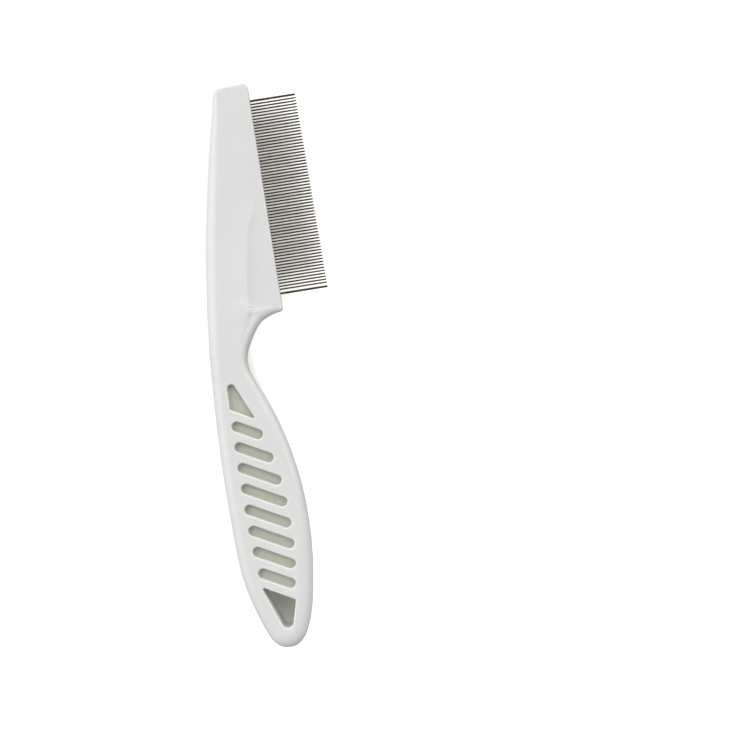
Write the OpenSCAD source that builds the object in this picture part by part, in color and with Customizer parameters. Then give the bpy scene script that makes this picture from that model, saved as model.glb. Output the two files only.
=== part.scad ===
// Flea comb: one moulded plastic handle with a head along which a row of steel pins is set.
// The comb lies flat. +X runs along the pins to their tips, +Y along the row to the head's tip, +Z up.
// Z = 0 is the underside, and X = Y = 0 is the middle of the whole comb's box. Millimetres.

/* [Teeth] */
// Diameter of one fine pin.
fine_d = 0.5; // [0.3:0.05:0.6]
// Diameter of the stouter guard pin at each end of the row.
guard_d = 0.7; // [0.5:0.05:0.9]
// Distance from one fine pin to the next.
fine_pitch = 0.955; // [0.85:0.005:1.05]
// Distance from the tip-end guard pin to the first fine pin.
guard_gap_tip = 1.08; // [0.9:0.02:1.5]
// Distance from the last fine pin to the heel-end guard pin.
guard_gap_heel = 1.3; // [0.9:0.02:1.5]
// Whole length of a pin, with the part that is buried in the head.
pin_len = 20; // [18:0.5:24]
// How far the pins stand out of the head's edge at the middle of the row.
pin_reach = 14.85; // [12:0.05:16]
// Angle between the line of pin tips and the head's edge, in degrees.
tip_line_slant = 0.56; // [0:0.01:1]

/* [Handle] */
// Thickness of the grip.
grip_t = 9; // [7:0.2:11]
// Thickness of the head along the edge that holds the pins.
edge_t = 3.4; // [2.4:0.1:5]
// Width of the rounding along the grip's spine side, seen from above.
rim_w = 3.4; // [2:0.1:4]
// Width of the rounding along the grip's belly side, where it is widest.
belly_rim_w = 4.5; // [2:0.1:4.6]
// Width of the rounding round the grip's butt end.
butt_rim_w = 4.9; // [3:0.1:5]
// Width of one grip slot.
slot_w = 3.2; // [2:0.1:4]
// Distance from one grip slot to the next, along the handle.
slot_pitch = 6.582; // [6:0.002:7]
// Slope of the grip slots, in degrees.
slot_slope = -28.1; // [-35:0.1:-20]
// Thickness of the web between the upper and the lower pocket of a slot.
slot_web = 6; // [0.8:0.1:6.5]

/* [Hidden] */
$fn = 48;
fine_count = 63;
pins_per_group = 3;
edge_x = -1; // the head's edge, in the outline's own coordinates
row_len = guard_gap_tip + (fine_count - 1) * fine_pitch + guard_gap_heel;
half_t = grip_t / 2;
edge_half = edge_t / 2;
cut_over = 1; // how far a cutter runs past the face that it opens
// The outline is drawn from the middle of the pin row. This moves it to the middle of the comb's box.
to_middle = [6.775, 52.42, half_t];

plastic = [0.93, 0.93, 0.91];
steel = [0.55, 0.54, 0.52];

// One entry per rib. A rib runs from the spine side to the tooth side. Each end is
// [x, y, heading of the outline there, width of the rim's rounding, half thickness].
// Then comes the head's crease: where it crosses the rib, from 0 at the spine side to 1 at the other,
// the half thickness at its crest and at its foot, and how far the face up to the crest is dished.
ribs = [
    [[-11.4, 35.6, 225, 1.2, edge_half + 0.95], [-11.4, 35.6, 45, 1.2, edge_half + 0.95],
        [0.7, edge_half + 0.95, edge_half + 0.95, 0]],
    [[-12.2, 34, 256, 1.6, edge_half + 1], [-9.6, 36.35, 3, 1.2, edge_half + 0.75],
        [0.7, edge_half + 0.85, edge_half + 0.8, 0]],
    [[-13.8, 26.5, 256.5, 2.2, edge_half + 1.15], [-2.8, 36.75, 0, 1, edge_half + 0.15],
        [0.75, edge_half + 0.45, edge_half + 0.35, 0]],
    [[-15.35, 20, 257, 2.6, half_t - 1.5], [edge_x, 35, 270, 0.6, edge_half],
        [0.8, edge_half + 0.35, edge_half + 0.2, 0]],
    [[-19.5, 0, 258.7, 3.2, half_t - 0.8], [edge_x, 0, 270, 0.6, edge_half],
        [0.84, edge_half + 0.65, edge_half + 0.35, 0]],
    [[-21.72, -12, 260.3, 3.4, half_t - 0.55], [edge_x, -12, 270, 0.6, edge_half],
        [0.62, half_t - 1.2, edge_half + 0.8, 0.1]],
    [[-24, -28, 262.5, 3.6, half_t - 0.2], [edge_x, -35.3, 270, 0.6, edge_half],
        [0.52, half_t - 0.45, edge_half + 1.15, 0.12]],
    [[-24.4, -31, 263, 3.6, half_t - 0.1], [-2.1, -36.5, 187, 1.1, edge_half + 0.1],
        [0.555, half_t - 0.25, half_t - 1.55, 0.12]],
    [[-24.75, -34, 263.7, 3.6, half_t - 0.05], [-4.82, -37.08, 197, 2, edge_half + 0.6],
        [0.675, half_t - 0.2, half_t - 1.35, 0.12]],
    [[-25.1, -37, 264.5, 3.6, half_t], [-7.4, -38.1, 206, 2.4, edge_half + 1.2],
        [0.8, half_t - 0.2, half_t - 1.05, 0.08]],
    [[-25.4, -40, 264.8, 3.6, half_t], [-9.84, -40.03, 228.4, 1.8, half_t - 0.75],
        [0.9, half_t - 0.2, half_t - 0.65, 0.05]],
    [[-25.7, -43, 265, 3.6, half_t], [-11.7, -42.6, 238, 1.6, half_t - 0.3],
        [0.92, half_t - 0.08, half_t - 0.25, 0.03]],
    [[-26.4, -51, 266.5, 3.6, half_t], [-14.93, -51, 269, 1.5, half_t],
        [0.95, half_t, half_t, 0]],
    [[-26.62, -55.6, 266.9, 3.5, half_t], [-13.86, -55.6, 292, 1.6, half_t],
        [1, half_t, half_t, 0]],
    [[-27.2, -66, 267.6, rim_w, half_t], [-9.6, -66, 290.3, 2.1, half_t],
        [1, half_t, half_t, 0]],
    [[-27.7, -88, 270, rim_w, half_t], [-4.3, -88, 278, 1.8, half_t],
        [1, half_t, half_t, 0]],
    [[-27.5, -104, 271.6, rim_w, half_t], [-3.3, -104, 270, 2.7, half_t],
        [1, half_t, half_t, 0]],
    [[-26.35, -120, 281, rim_w, half_t], [-4.6, -120, 261, belly_rim_w, half_t],
        [1, half_t, half_t, 0]],
    [[-20.8, -138, 295, 4.6, half_t], [-9.15, -137.4, 243, 4.1, half_t],
        [1, half_t, half_t, 0]],
    [[-15, -141.6, 360, butt_rim_w, half_t], [-15, -141.6, 180, butt_rim_w, half_t],
        [1, half_t, half_t, 0]]
];
rib_steps = 5; // sections between two ribs
rim_steps = 5; // points round a quarter of the rim
rim_flat = 0.12; // share of the rim's height that stays upright, as a parting band
crease_w = 1.8; // width of the crease's slope

// The grip slots: where each starts and ends across the handle, from the head down.
slot_left = [-22.3, -22.4, -22.45, -22.4, -22.35, -22.2, -21.9, -21.25];
slot_right = [-12.85, -10.75, -9.35, -8.65, -8.4, -8.45, -9.05, -10.05];
slot_axis = [-16, -72.7]; // a point on the first slot's centre line
// Discs [x, y, r] at the corners of the pocket above the slots and of the hanging hole below them.
top_pocket = [[-20.5, -58.1, 1.25], [-21.55, -64.45, 0.4], [-15.2, -67.95, 0.4]];
hang_hole = [[-14.5, -133.1, 1.8], [-11.4, -126.65, 0.5], [-20.1, -121.75, 0.4]];

function pad(n) = n < 10 ? str("0", n) : str(n);

// ---- pins ----

function fine_y(n) = row_len / 2 - guard_gap_tip - n * fine_pitch;
function root_x(y) = edge_x + pin_reach - y * tan(tip_line_slant) - pin_len;

// A pin lies along +X with its buried end at X = 0, and its free end is rounded.
module pin(d) {
    color(steel)
        rotate([0, 90, 0])
            rotate_extrude()
                union() {
                    square([d / 2, pin_len - d / 2]);
                    translate([0, pin_len - d / 2])
                        intersection() {
                            circle(d / 2);
                            square(d);
                        }
                }
}

module placed_pin(d, y)
    translate(to_middle)
        translate([root_x(y), y, 0])
            pin(d);

module pin_group(g)
    for (k = [0:pins_per_group - 1])
        placed_pin(fine_d, fine_y((g - 1) * pins_per_group + k));

module guard_pin_tip() placed_pin(guard_d, row_len / 2);
module guard_pin_heel() placed_pin(guard_d, -row_len / 2);
module fine_pins_01() pin_group(1);
module fine_pins_02() pin_group(2);
module fine_pins_03() pin_group(3);
module fine_pins_04() pin_group(4);
module fine_pins_05() pin_group(5);
module fine_pins_06() pin_group(6);
module fine_pins_07() pin_group(7);
module fine_pins_08() pin_group(8);
module fine_pins_09() pin_group(9);
module fine_pins_10() pin_group(10);
module fine_pins_11() pin_group(11);
module fine_pins_12() pin_group(12);
module fine_pins_13() pin_group(13);
module fine_pins_14() pin_group(14);
module fine_pins_15() pin_group(15);
module fine_pins_16() pin_group(16);
module fine_pins_17() pin_group(17);
module fine_pins_18() pin_group(18);
module fine_pins_19() pin_group(19);
module fine_pins_20() pin_group(20);
module fine_pins_21() pin_group(21);

// ---- handle body ----

function unit(a) = [cos(a), sin(a)];

// A cubic between two outline points that leaves and arrives along their headings.
// The pull is the one that makes the cubic closest to an arc of that turn.
function turn(a, b) = let (d = b[2] - a[2]) d - 360 * round(d / 360);
function pull(a, b) = norm([b[0] - a[0], b[1] - a[1]]) / pow(cos(turn(a, b) / 4), 2);
function curve_point(a, b, t) =
    let (m = pull(a, b))
    (2 * pow(t, 3) - 3 * t * t + 1) * [a[0], a[1]]
    + (pow(t, 3) - 2 * t * t + t) * m * unit(a[2])
    + (3 * t * t - 2 * pow(t, 3)) * [b[0], b[1]]
    + (pow(t, 3) - t * t) * m * unit(b[2]);
function curve_heading(a, b, t) =
    let (
        m = pull(a, b),
        d = (6 * t * t - 6 * t) * [a[0], a[1]]
            + (3 * t * t - 4 * t + 1) * m * unit(a[2])
            + (6 * t - 6 * t * t) * [b[0], b[1]]
            + (3 * t * t - 2 * t) * m * unit(b[2])
    )
    atan2(d[1], d[0]);
function mix(a, b, t) = a + (b - a) * t;

// The rim at one outline point, from the upper face round to the lower one. side turns the
// heading inwards: +90 on the spine side, -90 on the tooth side.
function rim(a, b, t, side) =
    let (
        p = curve_point(a, b, t),
        inward = unit(curve_heading(a, b, t) + side),
        w = mix(a[3], b[3], t),
        h = mix(a[4], b[4], t),
        upright = max(h * rim_flat, h - 1.15 * w),
        upper = [
            for (k = [rim_steps:-1:0])
                let (q = 90 * k / rim_steps, xy = p + inward * w * (1 - cos(q)))
                [xy[0], xy[1], upright + (h - upright) * sin(q)]
        ]
    )
    concat(upper, [for (k = [rim_steps:-1:0]) flip(upper[k])]);
function flip(p) = [p[0], p[1], -p[2]];

// Points on the upper face between the two rims: along the dished face to the crease's crest, down
// the crease to its foot, and from there straight on to the far rim.
function across(from, to, crease) =
    let (
        slope = min(crease_w / norm([to[0] - from[0], to[1] - from[1], 0.001]), 0.15),
        body = min(crease[0] - slope / 2, 0.97 - slope)
    )
    [
        for (step = [
            [body * 0.25, mix(from[2], crease[1], 0.25) - crease[3] / 2],
            [body * 0.5, mix(from[2], crease[1], 0.5) - crease[3]],
            [body * 0.75, mix(from[2], crease[1], 0.75) - crease[3] / 2],
            [body, crease[1]],
            [body + slope / 2, (crease[1] + crease[2]) / 2],
            [body + slope, crease[2]]
        ])
            [mix(from[0], to[0], step[0]), mix(from[1], to[1], step[0]), step[1]]
    ];

// One closed section through the handle: spine rim, lower face, tooth-side rim, upper face.
rim_n = 2 * rim_steps + 2;
face_n = 6;
ring_n = 2 * rim_n + 2 * face_n;
function reversed(list) = [for (k = [len(list) - 1:-1:0]) list[k]];
function ring(a, b, t) =
    let (
        left = rim(a[0], b[0], t, 90),
        right = rim(a[1], b[1], t, -90),
        upper = across(left[0], right[0], mix(a[2], b[2], t))
    )
    concat(left, [for (p = upper) flip(p)], reversed(right), reversed(upper));

// Both end sections close to one upright line, so their points are shared.
last_ring = (len(ribs) - 1) * rib_steps;
function closed(j) =
    j < rim_n ? j
    : j < rim_n + face_n ? rim_n - 1
    : j < 2 * rim_n + face_n ? 2 * rim_n + face_n - 1 - j
    : 0;
function at(i, j) =
    let (k = j % ring_n)
    i * ring_n + (i == 0 || i == last_ring ? closed(k) : k);
function two_triangles(i, j) =
    let (a = at(i, j), b = at(i, j + 1), c = at(i + 1, j + 1), d = at(i + 1, j))
    concat(a == b || b == c ? [] : [[a, b, c]], c == d || d == a ? [] : [[a, c, d]]);

module handle_body() {
    points = [
        for (i = [0:last_ring])
            let (
                n = min(floor(i / rib_steps), len(ribs) - 2),
                section = ring(ribs[n], ribs[n + 1], i / rib_steps - n)
            )
            each section
    ];
    faces = [for (i = [0:last_ring - 1], j = [0:ring_n - 1]) each two_triangles(i, j)];
    polyhedron(points, faces);
}

// ---- openings ----

// The outline that wraps a ring of discs [x, y, r], given anticlockwise: its straight sides touch
// neighbouring discs.
function touch_angle(a, b) =
    let (d = [b[0] - a[0], b[1] - a[1]])
    atan2(d[1], d[0]) - acos((a[2] - b[2]) / norm(d));
function touch(disc, angle) = [disc[0], disc[1]] + disc[2] * unit(angle);
module wrapped(discs) {
    n = len(discs);
    polygon([
        for (k = [0:n - 1])
            let (a = discs[k], b = discs[(k + 1) % n], angle = touch_angle(a, b))
            each [touch(a, angle), touch(b, angle)]
    ]);
    for (d = discs)
        translate([d[0], d[1]])
            circle(d[2]);
}

// The same outline sunk into both faces, with a web left between.
module pocket_pair(discs)
    for (z = [slot_web / 2, -half_t - cut_over])
        translate([0, 0, z])
            linear_extrude(half_t + cut_over - slot_web / 2)
                wrapped(discs);

module slot_pair(k) {
    r = slot_w / 2;
    axis_y = slot_axis[1] - k * slot_pitch;
    ends = [for (x = [slot_left[k] + r, slot_right[k] - r])
        [x, axis_y + (x - slot_axis[0]) * tan(slot_slope), r]];
    pocket_pair(ends);
}

module bore(d, y)
    translate([root_x(y), y, 0])
        rotate([0, 90, 0])
            cylinder(d = d, h = pin_len);

module handle()
    color(plastic)
        translate(to_middle)
            difference() {
                handle_body();
                for (k = [0:len(slot_left) - 1])
                    slot_pair(k);
                pocket_pair(top_pocket);
                translate([0, 0, -half_t - cut_over])
                    linear_extrude(grip_t + 2 * cut_over)
                        wrapped(hang_hole);
                for (n = [0:fine_count - 1])
                    bore(fine_d, fine_y(n));
                bore(guard_d, row_len / 2);
                bore(guard_d, -row_len / 2);
            }

handle();
guard_pin_tip();
guard_pin_heel();
fine_pins_01();
fine_pins_02();
fine_pins_03();
fine_pins_04();
fine_pins_05();
fine_pins_06();
fine_pins_07();
fine_pins_08();
fine_pins_09();
fine_pins_10();
fine_pins_11();
fine_pins_12();
fine_pins_13();
fine_pins_14();
fine_pins_15();
fine_pins_16();
fine_pins_17();
fine_pins_18();
fine_pins_19();
fine_pins_20();
fine_pins_21();
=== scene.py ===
"""Looks of the flea comb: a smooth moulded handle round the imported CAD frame, steel pins, a pale floor."""

import math

import bmesh
import bpy
import numpy as np
from mathutils import Matrix, Vector
from mathutils.geometry import delaunay_2d_cdt


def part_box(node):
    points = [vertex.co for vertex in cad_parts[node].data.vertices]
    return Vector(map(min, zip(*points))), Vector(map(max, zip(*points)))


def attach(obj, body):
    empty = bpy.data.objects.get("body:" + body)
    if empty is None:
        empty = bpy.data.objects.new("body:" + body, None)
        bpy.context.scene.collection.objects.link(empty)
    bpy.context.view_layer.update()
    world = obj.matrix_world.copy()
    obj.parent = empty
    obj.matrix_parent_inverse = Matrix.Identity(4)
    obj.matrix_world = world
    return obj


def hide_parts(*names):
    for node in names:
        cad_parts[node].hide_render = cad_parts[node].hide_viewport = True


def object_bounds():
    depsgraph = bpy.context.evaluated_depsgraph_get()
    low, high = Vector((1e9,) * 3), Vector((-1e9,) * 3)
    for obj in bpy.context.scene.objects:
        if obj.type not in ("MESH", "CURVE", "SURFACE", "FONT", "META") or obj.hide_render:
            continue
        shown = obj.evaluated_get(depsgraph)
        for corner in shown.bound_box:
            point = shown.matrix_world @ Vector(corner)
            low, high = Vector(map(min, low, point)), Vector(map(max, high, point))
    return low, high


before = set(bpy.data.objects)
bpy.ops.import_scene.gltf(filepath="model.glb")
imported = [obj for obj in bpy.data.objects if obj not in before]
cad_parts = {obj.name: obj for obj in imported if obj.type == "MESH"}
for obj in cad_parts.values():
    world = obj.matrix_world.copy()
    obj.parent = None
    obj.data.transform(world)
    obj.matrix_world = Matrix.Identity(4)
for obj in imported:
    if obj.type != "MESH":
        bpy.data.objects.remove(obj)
cad_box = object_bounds()

MM = 0.001

# ---- the handle's shape, in the outline's own millimetres ----

GRIP_HALF = 4.5  # half the grip's thickness
EDGE_HALF = 1.7  # half the head's thickness at the pins
SPINE_RIM = 3.4  # width of the rounding along the grip's spine
BELLY_RIM = 4.5  # the same along its belly, where it is widest
BUTT_RIM = 4.9  # the same round its butt
EDGE_X = -1.0  # the straight edge that holds the pins
UPRIGHT = 0.12  # share of a full rim's height that stays upright
RIM_STRETCH = 1.15  # a rim's rounding is at most this many times as high as it is wide
CREASE_W = 1.8  # width of the slope at the head's crease
SLOPE_SHARE = 0.15  # the most of a rib that the slope may take
FOOT_LIMIT = 0.97  # the slope's foot lies no further along a rib than this

# A rib runs across the handle from the spine side to the tooth side. Each side gives a point of the
# outline, the outline's heading there, the width of the rim's rounding and the half thickness.
X, Y, HEADING, RIM_W, HALF = range(5)
# Then comes the head's crease: where it crosses the rib, from 0 at the spine to 1 at the other side, the
# half thickness at its crest and at its foot, and how far the face up to the crest is dished.
PLACE, CREST, FOOT, DISH = range(4)
FLAT = (1, GRIP_HALF, GRIP_HALF, 0)
SPINE_SIDE, TOOTH_SIDE, CREASE = range(3)
RIBS = [
    ((-11.4, 35.6, 225, 1.2, 2.65), (-11.4, 35.6, 45, 1.2, 2.65), (0.7, 2.65, 2.65, 0)),
    ((-12.2, 34, 256, 1.6, 2.7), (-9.6, 36.35, 3, 1.2, 2.45), (0.7, 2.55, 2.5, 0)),
    ((-13.8, 26.5, 256.5, 2.2, 2.85), (-2.8, 36.75, 0, 1, 1.85), (0.75, 2.15, 2.05, 0)),
    ((-15.35, 20, 257, 2.6, 3), (EDGE_X, 35, 270, 0.6, EDGE_HALF), (0.8, 2.05, 1.9, 0)),
    ((-19.5, 0, 258.7, 3.2, 3.7), (EDGE_X, 0, 270, 0.6, EDGE_HALF), (0.84, 2.35, 2.05, 0)),
    ((-21.72, -12, 260.3, 3.4, 3.95), (EDGE_X, -12, 270, 0.6, EDGE_HALF), (0.62, 3.3, 2.5, 0.1)),
    ((-24, -28, 262.5, 3.6, 4.3), (EDGE_X, -35.3, 270, 0.6, EDGE_HALF), (0.52, 4.05, 2.85, 0.12)),
    ((-24.4, -31, 263, 3.6, 4.4), (-2.1, -36.5, 187, 1.1, 1.8), (0.555, 4.25, 2.95, 0.12)),
    ((-24.75, -34, 263.7, 3.6, 4.45), (-4.82, -37.08, 197, 2, 2.3), (0.675, 4.3, 3.15, 0.12)),
    ((-25.1, -37, 264.5, 3.6, GRIP_HALF), (-7.4, -38.1, 206, 2.4, 2.9), (0.8, 4.3, 3.45, 0.08)),
    ((-25.4, -40, 264.8, 3.6, GRIP_HALF), (-9.84, -40.03, 228.4, 1.8, 3.75), (0.9, 4.3, 3.85, 0.05)),
    ((-25.7, -43, 265, 3.6, GRIP_HALF), (-11.7, -42.6, 238, 1.6, 4.2), (0.92, 4.42, 4.25, 0.03)),
    ((-26.4, -51, 266.5, 3.6, GRIP_HALF), (-14.93, -51, 269, 1.5, GRIP_HALF), FLAT),
    ((-26.62, -55.6, 266.9, 3.5, GRIP_HALF), (-13.86, -55.6, 292, 1.6, GRIP_HALF), FLAT),
    ((-27.2, -66, 267.6, SPINE_RIM, GRIP_HALF), (-9.6, -66, 290.3, 2.1, GRIP_HALF), FLAT),
    ((-27.7, -88, 270, SPINE_RIM, GRIP_HALF), (-4.3, -88, 278, 1.8, GRIP_HALF), FLAT),
    ((-27.5, -104, 271.6, SPINE_RIM, GRIP_HALF), (-3.3, -104, 270, 2.7, GRIP_HALF), FLAT),
    ((-26.35, -120, 281, SPINE_RIM, GRIP_HALF), (-4.6, -120, 261, BELLY_RIM, GRIP_HALF), FLAT),
    ((-20.8, -138, 295, 4.6, GRIP_HALF), (-9.15, -137.4, 243, 4.1, GRIP_HALF), FLAT),
    ((-15, -141.6, 360, BUTT_RIM, GRIP_HALF), (-15, -141.6, 180, BUTT_RIM, GRIP_HALF), FLAT),
]
FLAT_RIB = 13  # from this rib to the butt the face is flat, and holds the pockets

# Eight slanted slots cross the grip, with a pocket above them and the hanging hole below.
SLOT_W = 3.2
SLOT_PITCH = 6.582  # from one slot's centre line down to the next
SLOT_SLOPE = -28.1  # of a slot's centre line, in degrees
SLOT_AXIS = (-16, -72.7)  # a point on the first slot's centre line
SLOT_LEFT = (-22.3, -22.4, -22.45, -22.4, -22.35, -22.2, -21.9, -21.25)
SLOT_RIGHT = (-12.85, -10.75, -9.35, -8.65, -8.4, -8.45, -9.05, -10.05)
# A pocket's outline wraps discs of x, y and radius at its corners.
TOP_POCKET = [(-20.5, -58.1, 1.25), (-21.55, -64.45, 0.4), (-15.2, -67.95, 0.4)]
HANG_HOLE = [(-14.5, -133.1, 1.8), (-11.4, -126.65, 0.5), (-20.1, -121.75, 0.4)]
WEB = 6  # thickness left between the upper and the lower pocket

# ---- how finely it is meshed ----

SPAN_STEPS = 14  # from one rib to the next
RIM_STEPS = 9
BODY_STEPS = 10  # from the spine's rim to the crease
CREASE_STEPS = 6
LAND_STEPS = 4  # from the crease's foot to the other rim
ARC_STEPS = 10  # round one corner of a pocket
SIDE_STEPS = 8  # along one side of a pocket
MOUTH_STEPS = 5
FLOOR_STEPS = 4
MOUTH_R = 0.38  # rounding of a pocket's mouth
FLOOR_R = 0.3  # rounding at the foot of its walls
RECESS_SHADE_DEPTH = 1  # depth below the face at which a pocket has its full painted shade, a darker and warmer tint
SUPPORT = 0.06  # a narrow level band that keeps the shading of flat faces flat
WELD = 1e-7  # points of a flat face that lie closer than this become one


def unit(degrees):
    """The unit vector in that direction."""
    a = math.radians(degrees)
    return np.array((math.cos(a), math.sin(a)))


def mix(a, b, t):
    return a + (b - a) * t


def cubic(pa, pb, ma, mb, t):
    """Point on the curve that leaves pa with slope ma and arrives at pb with slope mb."""
    t2 = t * t
    t3 = t2 * t
    return (2 * t3 - 3 * t2 + 1) * pa + (t3 - 2 * t2 + t) * ma + (3 * t2 - 2 * t3) * pb + (t3 - t2) * mb


def cubic_slope(pa, pb, ma, mb, t):
    """Direction of travel at that point of the same curve."""
    t2 = t * t
    start = (6 * t2 - 6 * t) * pa + (3 * t2 - 4 * t + 1) * ma
    return start + (6 * t - 6 * t2) * pb + (3 * t2 - 2 * t) * mb


def gentle(before, after):
    """Slope between two steps: none at a peak or a dip, and never more than the smaller step."""
    if before * after <= 0:
        return 0
    return min(abs(before), abs(after)) * math.copysign(1, after)


def eased(values, n, t):
    """A smooth run through one number per rib, from rib n to the next, that doesn't overshoot."""
    a, b = values[n], values[n + 1]
    before = values[n - 1] if n else a
    after = values[n + 2] if n + 2 < len(values) else b
    return cubic(a, b, gentle(a - before, b - a), gentle(b - a, after - b), t)


def outline(a, b, t):
    """Point and heading on the cubic from rib side a to rib side b, along the headings of both."""
    turn = (b[HEADING] - a[HEADING] + 180) % 360 - 180
    pull = math.dist(a[:2], b[:2]) / math.cos(math.radians(turn / 4)) ** 2
    pa = np.array(a[:2], float)
    pb = np.array(b[:2], float)
    curve = (pa, pb, pull * unit(a[HEADING]), pull * unit(b[HEADING]), t)
    slope = cubic_slope(*curve)
    return cubic(*curve), math.degrees(math.atan2(slope[1], slope[0]))


def rim(side, n, t):
    """The upper half of the rim at one point of the outline, from the middle plane up to the face."""
    ends = [rib[side] for rib in RIBS]
    point, heading = outline(ends[n], ends[n + 1], t)
    inward = unit(heading + (90 if side == SPINE_SIDE else -90))
    width = eased([end[RIM_W] for end in ends], n, t)
    half = eased([end[HALF] for end in ends], n, t)
    upright = max(half * UPRIGHT, half - RIM_STRETCH * width)
    rounding = []
    for k in range(RIM_STEPS + 1):
        q = math.radians(90 * k / RIM_STEPS)
        xy = point + inward * width * (1 - math.cos(q))
        rounding.append((*xy, upright + (half - upright) * math.sin(q)))
    level = (*(point + inward * (width + SUPPORT)), half)
    return [(*point, 0.0), *rounding, level]


def smooth_step(x):
    """Rises from 0 to 1 and is level at both ends."""
    x = min(max(x, 0), 1)
    return x * x * (3 - 2 * x)


def across(start, end, n, t):
    """Points on the upper face from one rim to the other, ends left out."""
    creases = [rib[CREASE] for rib in RIBS]
    place, crest, foot, dish = (eased([c[k] for c in creases], n, t) for k in (PLACE, CREST, FOOT, DISH))
    slope = min(CREASE_W / max(math.dist(start[:2], end[:2]), 1e-3), SLOPE_SHARE)
    body = min(place - slope / 2, FOOT_LIMIT - slope)
    land = body + slope
    stops = [body * k / BODY_STEPS for k in range(1, BODY_STEPS)]
    stops += [body + slope * k / CREASE_STEPS for k in range(CREASE_STEPS + 1)]
    stops += [land + (1 - land) * k / LAND_STEPS for k in range(1, LAND_STEPS)]
    points = []
    for s in stops:
        if s < body:
            z = mix(start[2], crest, s / body) - dish * math.sin(math.pi * s / body) ** 2
        elif s < land:
            z = mix(crest, foot, smooth_step((s - body) / slope))
        else:
            z = mix(foot, end[2], (s - land) / (1 - land))
        points.append((mix(start[0], end[0], s), mix(start[1], end[1], s), z))
    return points


def wrapped(discs, grow):
    """Points anticlockwise along the outline that wraps a ring of discs, each grown by that much."""
    count = len(discs)
    sides = []
    for k in range(count):
        (ax, ay, ar), (bx, by, br) = discs[k], discs[(k + 1) % count]
        reach = math.dist((ax, ay), (bx, by))
        sides.append(math.degrees(math.atan2(by - ay, bx - ax) - math.acos((ar - br) / reach)))
    points = []
    for k in range(count):
        x, y, r = discs[k]
        first = sides[k - 1]
        sweep = (sides[k] - first) % 360
        for j in range(ARC_STEPS + 1):
            points.append(np.array((x, y)) + (r + grow) * unit(first + sweep * j / ARC_STEPS))
        nx, ny, nr = discs[(k + 1) % count]
        start, end = points[-1], np.array((nx, ny)) + (nr + grow) * unit(sides[k])
        points += [mix(start, end, j / SIDE_STEPS) for j in range(1, SIDE_STEPS)]
    return points


def slot_discs(k):
    """The two discs at the ends of slot k, counted from the head."""
    r = SLOT_W / 2
    y = SLOT_AXIS[1] - k * SLOT_PITCH
    slope = math.tan(math.radians(SLOT_SLOPE))
    return [(x, y + (x - SLOT_AXIS[0]) * slope, r) for x in (SLOT_LEFT[k] + r, SLOT_RIGHT[k] - r)]


class Skin:
    """Collects vertices and faces. A sign of -1 mirrors what is added onto the lower face."""

    def __init__(self):
        self.points = []
        self.faces = []
        self.recessed = []  # one flag per point: is it on the wall or the floor of a pocket

    def add(self, points, sign=1, recessed=False):
        """Adds a row of points and returns their numbers."""
        first = len(self.points)
        self.recessed += [recessed] * len(points)
        self.points += [(p[0], p[1], p[2] * sign) for p in points]
        return list(range(first, len(self.points)))

    def strip(self, a, b, sign=1, loop=True):
        """Quads between two rows of equal length. Seen from outside, b lies to the left of a."""
        for j in range(len(a) if loop else len(a) - 1):
            k = (j + 1) % len(a)
            self.face((a[j], a[k], b[k], b[j]), sign)

    def face(self, corners, sign=1):
        """One face. Corners that are the same point as the one before are left out."""
        if len(set(corners)) > 2:
            kept = [c for j, c in enumerate(corners) if c != corners[j - 1]]
            self.faces.append(tuple(kept) if sign > 0 else tuple(reversed(kept)))


def flat_face(skin, outer, holes, sign):
    """Fills the level region inside loop outer and outside the hole loops, all rows of vertex numbers."""
    numbers = [i for loop in (outer, *holes) for i in loop]
    flat = [Vector(skin.points[i][:2]) for i in numbers]
    edges = []
    rings = []
    start = 0
    for loop in (outer, *holes):
        count = len(loop)
        edges += [(start + j, start + (j + 1) % count) for j in range(count)]
        rings.append(flat[start : start + count])
        start += count
    points, _, faces, sources, _, _ = delaunay_2d_cdt(flat, edges, [], 1, WELD)
    for corners in faces:
        centre = sum((points[i] for i in corners), Vector((0, 0))) / len(corners)
        if not any(inside(centre, ring) for ring in rings[1:]):
            skin.face([numbers[sources[i][0]] for i in corners], sign)


def inside(p, ring):
    """Whether p lies inside the ring of points."""
    hit = False
    for a, b in zip(ring, ring[1:] + ring[:1]):
        if (a.y > p.y) != (b.y > p.y) and p.x < (b.x - a.x) * (p.y - a.y) / (b.y - a.y) + a.x:
            hit = not hit
    return hit


def mouth(skin, discs, sign):
    """The rounded mouth of a pocket: rows from the level band down to the top of the wall."""
    rows = [skin.add([(*p, GRIP_HALF) for p in wrapped(discs, MOUTH_R + SUPPORT)], sign)]
    for k in range(MOUTH_STEPS + 1):
        q = math.radians(90 * k / MOUTH_STEPS)
        grow = MOUTH_R * (1 - math.sin(q))
        z = GRIP_HALF - MOUTH_R * (1 - math.cos(q))
        rows.append(skin.add([(*p, z) for p in wrapped(discs, grow)], sign, recessed=True))
    return rows


def pocket(skin, discs, sign):
    """A blind pocket: mouth, wall, rounded foot and level floor. Returns the loop that meets the face."""
    rows = mouth(skin, discs, sign)
    floor = WEB / 2
    for k in range(FLOOR_STEPS + 1):
        q = math.radians(90 * k / FLOOR_STEPS)
        shrink = FLOOR_R * (1 - math.cos(q))
        z = floor + FLOOR_R * (1 - math.sin(q))
        rows.append(skin.add([(*p, z) for p in wrapped(discs, -shrink)], sign, recessed=True))
    level = [(*p, floor) for p in wrapped(discs, -FLOOR_R - SUPPORT)]
    rows.append(skin.add(level, sign, recessed=True))
    for a, b in zip(rows, rows[1:]):
        skin.strip(a, b, sign)
    skin.face(rows[-1], sign)
    return rows[0]


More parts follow.
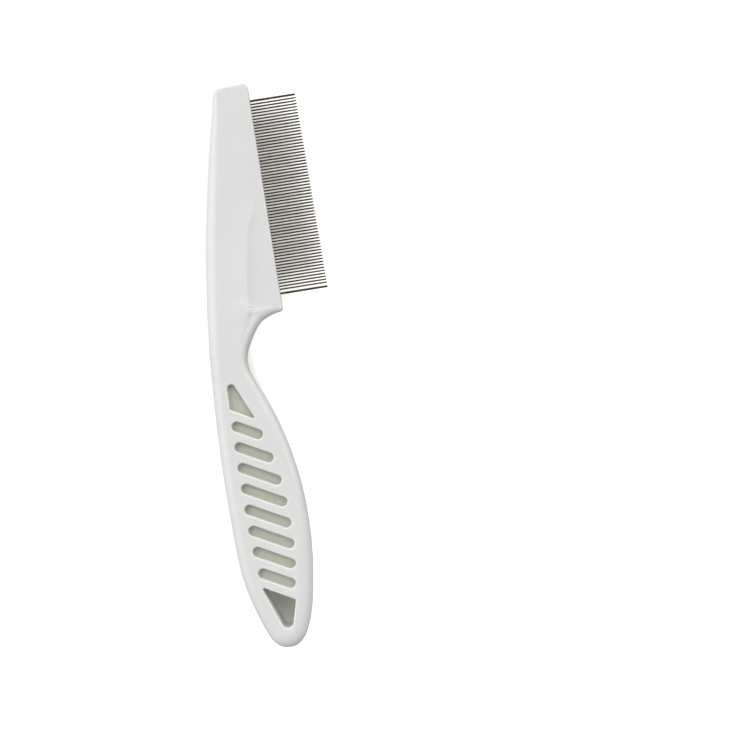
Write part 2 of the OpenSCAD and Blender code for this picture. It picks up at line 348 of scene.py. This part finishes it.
def half_shell(skin, stations, rims, middle, sign):
    """The upper or the lower half of the handle. Returns the loop at the foot of the hanging hole's mouth.

    rims holds the rim at each station, for both sides. middle collects the numbers of the points in the
    middle plane, which the two halves share: the first half fills it and the second one reads it.
    """
    first_half = not middle
    last = len(stations) - 1
    left, right = [], []
    for i, (spine, tooth) in enumerate(zip(*rims)):
        left.append((skin.add(spine[:1]) if first_half else [middle[i][0]]) + skin.add(spine[1:], sign))
        if i in (0, last):
            right.append(left[-1])
        else:
            right.append((skin.add(tooth[:1]) if first_half else [middle[i][1]]) + skin.add(tooth[1:], sign))
        if first_half:
            middle.append((left[-1][0], right[-1][0]))
    for i in range(last):
        skin.strip(left[i], left[i + 1], -sign, loop=False)
        skin.strip(right[i], right[i + 1], sign, loop=False)

    flat_from = FLAT_RIB * SPAN_STEPS - 1
    rows = []
    for i in range(1, flat_from + 1):
        between = across(rims[SPINE_SIDE][i][-1], rims[TOOTH_SIDE][i][-1], *stations[i])
        rows.append([left[i][-1]] + skin.add(between, sign) + [right[i][-1]])
    tip = left[0][-1]
    for a, b in zip(rows[0], rows[0][1:]):
        skin.face((tip, a, b), sign)
    for a, b in zip(rows, rows[1:]):
        skin.strip(b, a, sign, loop=False)

    outer = [left[i][-1] for i in range(flat_from, last + 1)]
    outer += [right[i][-1] for i in range(last - 1, flat_from - 1, -1)]
    outer += rows[-1][-2:0:-1]
    loops = [pocket(skin, slot_discs(k), sign) for k in range(len(SLOT_LEFT))]
    loops.append(pocket(skin, TOP_POCKET, sign))
    hole = mouth(skin, HANG_HOLE, sign)
    for a, b in zip(hole, hole[1:]):
        skin.strip(a, b, sign)
    loops.append(hole[0])
    flat_face(skin, outer, loops, sign)
    return hole[-1]


def build_handle():
    """The whole handle as one closed skin, lofted through the ribs."""
    skin = Skin()
    spans = len(RIBS) - 1
    stations = [(n, k / SPAN_STEPS) for n in range(spans) for k in range(SPAN_STEPS)]
    stations.append((spans - 1, 1.0))
    rims = [[rim(side, *station) for station in stations] for side in (SPINE_SIDE, TOOTH_SIDE)]
    middle = []
    upper_hole = half_shell(skin, stations, rims, middle, 1)
    lower_hole = half_shell(skin, stations, rims, middle, -1)
    waist = skin.add([(*p, 0) for p in wrapped(HANG_HOLE, 0)], recessed=True)
    skin.strip(upper_hole, waist)
    skin.strip(waist, lower_hole)
    return skin


def mesh_object(name, points, faces, shift):
    """An object from points in the outline's millimetres, moved by shift into the model's frame."""
    mesh = bpy.data.meshes.new(name)
    mesh.from_pydata([tuple(MM * (p[k] + shift[k]) for k in range(3)) for p in points], [], faces)
    mesh.validate()
    made = bmesh.new()
    made.from_mesh(mesh)
    bmesh.ops.recalc_face_normals(made, faces=made.faces)
    made.to_mesh(mesh)
    made.free()
    mesh.shade_smooth()
    obj = bpy.data.objects.new(name, mesh)
    bpy.context.scene.collection.objects.link(obj)
    return obj


# The lowest corner of the outline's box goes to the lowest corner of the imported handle's.
skin = build_handle()
corner = [min(p[k] for p in skin.points) for k in range(3)]
low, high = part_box("handle")
shift = [low[k] / MM - corner[k] for k in range(3)]
handle = mesh_object("handle_shell", skin.points, skin.faces, shift)
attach(handle, "root")
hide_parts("handle")

# How deep each point lies in a pocket, from 0 to 1, for the painted shade that makes the plastic darker and
# warmer there.
recess_shade = handle.data.attributes.new("recess_shade", "FLOAT", "POINT")
for k, (point, recessed) in enumerate(zip(skin.points, skin.recessed)):
    recess_shade.data[k].value = min((GRIP_HALF - abs(point[2])) / RECESS_SHADE_DEPTH, 1) if recessed else 0


# ---- materials ----


def new_material(name):
    material = bpy.data.materials.new(name)
    material.use_nodes = True
    nodes, links = material.node_tree.nodes, material.node_tree.links
    return material, nodes, links, nodes["Principled BSDF"]


def noise(nodes, links, source, scale, detail):
    """Noise of about that many blotches per metre. Returns its factor."""
    node = nodes.new("ShaderNodeTexNoise")
    node.inputs["Scale"].default_value = scale
    node.inputs["Detail"].default_value = detail
    links.new(source, node.inputs["Vector"])
    return node.outputs["Fac"]


def tinted(nodes, links, source, dark, light):
    """A colour that drifts between two near tints."""
    node = nodes.new("ShaderNodeValToRGB")
    for stop, place, color in zip(node.color_ramp.elements, (0.3, 0.7), (dark, light)):
        stop.position = place
        stop.color = (*color, 1)
    links.new(source, node.inputs["Fac"])
    return node.outputs["Color"]


def spread(nodes, links, source, low, high):
    node = nodes.new("ShaderNodeMapRange")
    node.inputs["To Min"].default_value = low
    node.inputs["To Max"].default_value = high
    links.new(source, node.inputs["Value"])
    return node.outputs["Result"]


def bump(nodes, links, height, strength, distance, under=None):
    """Bump of that height in metres, on top of the bump under it."""
    node = nodes.new("ShaderNodeBump")
    node.inputs["Strength"].default_value = strength
    node.inputs["Distance"].default_value = distance
    links.new(height, node.inputs["Height"])
    if under:
        links.new(under, node.inputs["Normal"])
    return node.outputs["Normal"]


def white_plastic():
    """Satin moulded plastic, with painted shade in its pockets: darker and warmer where the pocket-depth
    attribute rises.
    """
    material, nodes, links, shader = new_material("white_plastic")
    where = nodes.new("ShaderNodeTexCoord").outputs["Object"]
    cloud = noise(nodes, links, where, 35, 3)
    face = tinted(nodes, links, cloud, (0.60, 0.588, 0.546), (0.615, 0.603, 0.561))
    # Painted shade: the pockets' darker, warmer tint stands in for the shade and the warm bounced light
    # inside them.
    pocket_shade_tint = tinted(nodes, links, cloud, (0.465, 0.458, 0.375), (0.485, 0.478, 0.395))
    recess_shade = nodes.new("ShaderNodeAttribute")
    recess_shade.attribute_name = "recess_shade"
    toned = nodes.new("ShaderNodeMix")
    toned.data_type = "RGBA"
    links.new(recess_shade.outputs["Fac"], toned.inputs["Factor"])
    links.new(face, toned.inputs["A"])
    links.new(pocket_shade_tint, toned.inputs["B"])
    links.new(toned.outputs["Result"], shader.inputs["Base Color"])
    grain = noise(nodes, links, where, 2600, 3)
    sink_marks = noise(nodes, links, where, 90, 2)
    wear = noise(nodes, links, where, 160, 4)
    links.new(spread(nodes, links, wear, 0.36, 0.46), shader.inputs["Roughness"])
    fine = bump(nodes, links, grain, 0.12, 0.00005)
    broad = bump(nodes, links, sink_marks, 0.25, 0.0001, fine)
    links.new(broad, shader.inputs["Normal"])
    shader.inputs["IOR"].default_value = 1.48
    shader.inputs["Subsurface Weight"].default_value = 0.6
    shader.inputs["Subsurface Radius"].default_value = (1.0, 0.9, 0.7)
    shader.inputs["Subsurface Scale"].default_value = 0.001
    return material


def pin_steel():
    """Dark drawn wire, with its fine lines along the pins."""
    material, nodes, links, shader = new_material("pin_steel")
    where = nodes.new("ShaderNodeTexCoord").outputs["Object"]
    stretch = nodes.new("ShaderNodeMapping")
    stretch.inputs["Scale"].default_value = (0.05, 1, 1)
    links.new(where, stretch.inputs["Vector"])
    drawn = noise(nodes, links, stretch.outputs["Vector"], 9000, 3)
    patch = noise(nodes, links, where, 400, 2)
    tint = tinted(nodes, links, patch, (0.06, 0.045, 0.028), (0.086, 0.065, 0.042))
    links.new(tint, shader.inputs["Base Color"])
    links.new(spread(nodes, links, drawn, 0.24, 0.42), shader.inputs["Roughness"])
    links.new(bump(nodes, links, drawn, 0.2, 0.00001), shader.inputs["Normal"])
    shader.inputs["Metallic"].default_value = 1.0
    return material


def floor_white():
    material, nodes, links, shader = new_material("floor_white")
    where = nodes.new("ShaderNodeTexCoord").outputs["Object"]
    cloud = noise(nodes, links, where, 8, 2)
    tint = tinted(nodes, links, cloud, (0.95, 0.935, 0.86), (0.96, 0.945, 0.87))
    links.new(tint, shader.inputs["Base Color"])
    shader.inputs["Roughness"].default_value = 0.9
    return material


plastic = white_plastic()
steel = pin_steel()
handle.data.materials.append(plastic)
for name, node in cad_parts.items():
    node.data.materials.clear()
    node.data.materials.append(plastic if name == "handle" else steel)

# ---- floor ----

FLOOR_HALF = 1.5  # half the floor's width, in metres
FLOOR_GAP = 0.00005  # between the floor and the comb's underside, so that no faces coincide

corners = [(x * FLOOR_HALF, y * FLOOR_HALF, 0) for x, y in ((-1, -1), (1, -1), (1, 1), (-1, 1))]
floor_mesh = bpy.data.meshes.new("floor")
floor_mesh.from_pydata(corners, [], [(0, 1, 2, 3)])
floor_mesh.materials.append(floor_white())
floor = bpy.data.objects.new("floor", floor_mesh)
bpy.context.scene.collection.objects.link(floor)
floor.location.z = cad_box[0].z - FLOOR_GAP
# The floor throws no light back, so that the rims turned away from the light stay dark.
floor.visible_diffuse = False
floor.visible_glossy = False

# ---- camera ----

# The camera looks straight down. The comb lies left of the middle of its view, with the row of pins
# turned a little away from the view's upright.
TILT = math.radians(9)  # from the view's upright to the row of pins
VIEW_W = 0.2374  # width of the view at the comb's mid plane
LENS = 50
SENSOR = 36
AIM = (24.54, -60.96)  # the middle of the view, in the outline's millimetres
CLIP = (0.01, 10)  # nearest and furthest distance seen, in metres

right = Vector((math.cos(TILT), -math.sin(TILT), 0))
up = Vector((math.sin(TILT), math.cos(TILT), 0))
camera_data = bpy.data.cameras.new("camera")
camera_data.lens = LENS
camera_data.sensor_width = SENSOR
camera_data.clip_start, camera_data.clip_end = CLIP
camera = bpy.data.objects.new("camera", camera_data)
bpy.context.scene.collection.objects.link(camera)
height = (low.z + high.z) / 2 + VIEW_W * LENS / SENSOR
turned = Matrix((right, up, right.cross(up))).transposed().to_4x4()
moved = Matrix.Translation(((AIM[0] + shift[0]) * MM, (AIM[1] + shift[1]) * MM, height))
camera.matrix_world = moved @ turned
bpy.context.scene.camera = camera

# ---- light ----

# The light is a white tent round the comb: bright on its sides, dark round the camera straight above,
# and brighter beyond the head's tip than beyond the butt.
TENT_AZIMUTH = math.radians(110)  # of its brightest side, anticlockwise from the view's right
TENT_SWING = 0.7  # how much brighter and darker the two sides are than the middle
TENT_POWER = 1.98
TENT_COLOR = (0.955, 0.975, 1.045)
TENT_RAMP = [(-0.1, 0.2), (0.12, 0.9), (0.74, 1.0), (0.92, 0.05)]  # sine of the height, share of the power

world = bpy.data.worlds.new("studio")
world.use_nodes = True
nodes, links = world.node_tree.nodes, world.node_tree.links
direction = nodes.new("ShaderNodeTexCoord").outputs["Generated"]
split = nodes.new("ShaderNodeSeparateXYZ")
links.new(direction, split.inputs["Vector"])
halved = nodes.new("ShaderNodeMath")
halved.operation = "MULTIPLY_ADD"
halved.inputs[1].default_value = halved.inputs[2].default_value = 0.5
links.new(split.outputs["Z"], halved.inputs[0])
ring = nodes.new("ShaderNodeValToRGB")
ring.color_ramp.interpolation = "EASE"
for k, (place, share) in enumerate(TENT_RAMP):
    stop = ring.color_ramp.elements[k] if k < 2 else ring.color_ramp.elements.new(place)
    stop.position, stop.color = (place + 1) / 2, (share, share, share, 1)
links.new(halved.outputs["Value"], ring.inputs["Fac"])
bright_side = right * math.cos(TENT_AZIMUTH) + up * math.sin(TENT_AZIMUTH)
facing = nodes.new("ShaderNodeVectorMath")
facing.operation = "DOT_PRODUCT"
facing.inputs[1].default_value = bright_side * TENT_SWING
links.new(direction, facing.inputs[0])
swing = nodes.new("ShaderNodeMath")
swing.inputs[1].default_value = 1
links.new(facing.outputs["Value"], swing.inputs[0])
strength = nodes.new("ShaderNodeMath")
strength.operation = "MULTIPLY"
links.new(swing.outputs["Value"], strength.inputs[0])
links.new(ring.outputs["Color"], strength.inputs[1])
power = nodes.new("ShaderNodeMath")
power.operation = "MULTIPLY"
power.inputs[1].default_value = TENT_POWER
links.new(strength.outputs["Value"], power.inputs[0])
nodes["Background"].inputs["Color"].default_value = (*TENT_COLOR, 1)
links.new(power.outputs["Value"], nodes["Background"].inputs["Strength"])
bpy.context.scene.world = world

# A low, wide lamp from the dark side lights nothing but the floor, and thins the comb's shadow there. The
# handle shades it, and of the pins only every other group, which keeps the gaps between the pins pale.
LAMP_HEIGHT = math.radians(27)
LAMP_POWER = 4
LAMP_WIDTH = math.radians(34)
lamp_data = bpy.data.lights.new("backdrop_lamp", "SUN")
lamp_data.energy = LAMP_POWER
lamp_data.angle = LAMP_WIDTH
lamp = bpy.data.objects.new("backdrop_lamp", lamp_data)
bpy.context.scene.collection.objects.link(lamp)
from_lamp = bright_side * math.cos(LAMP_HEIGHT) - Vector((0, 0, math.sin(LAMP_HEIGHT)))
lamp.rotation_euler = from_lamp.to_track_quat("-Z", "Y").to_euler()
lit = bpy.data.collections.new("lit_by_backdrop_lamp")
lit.objects.link(floor)
lamp.light_linking.receiver_collection = lit
shading = bpy.data.collections.new("shading_backdrop_lamp")
shading.objects.link(handle)
for name in sorted(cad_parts):
    if name.startswith("fine_pins") and int(name[-2:]) % 2 == 1:
        shading.objects.link(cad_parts[name])
lamp.light_linking.blocker_collection = shading

bpy.context.scene.view_settings.view_transform = "Standard"
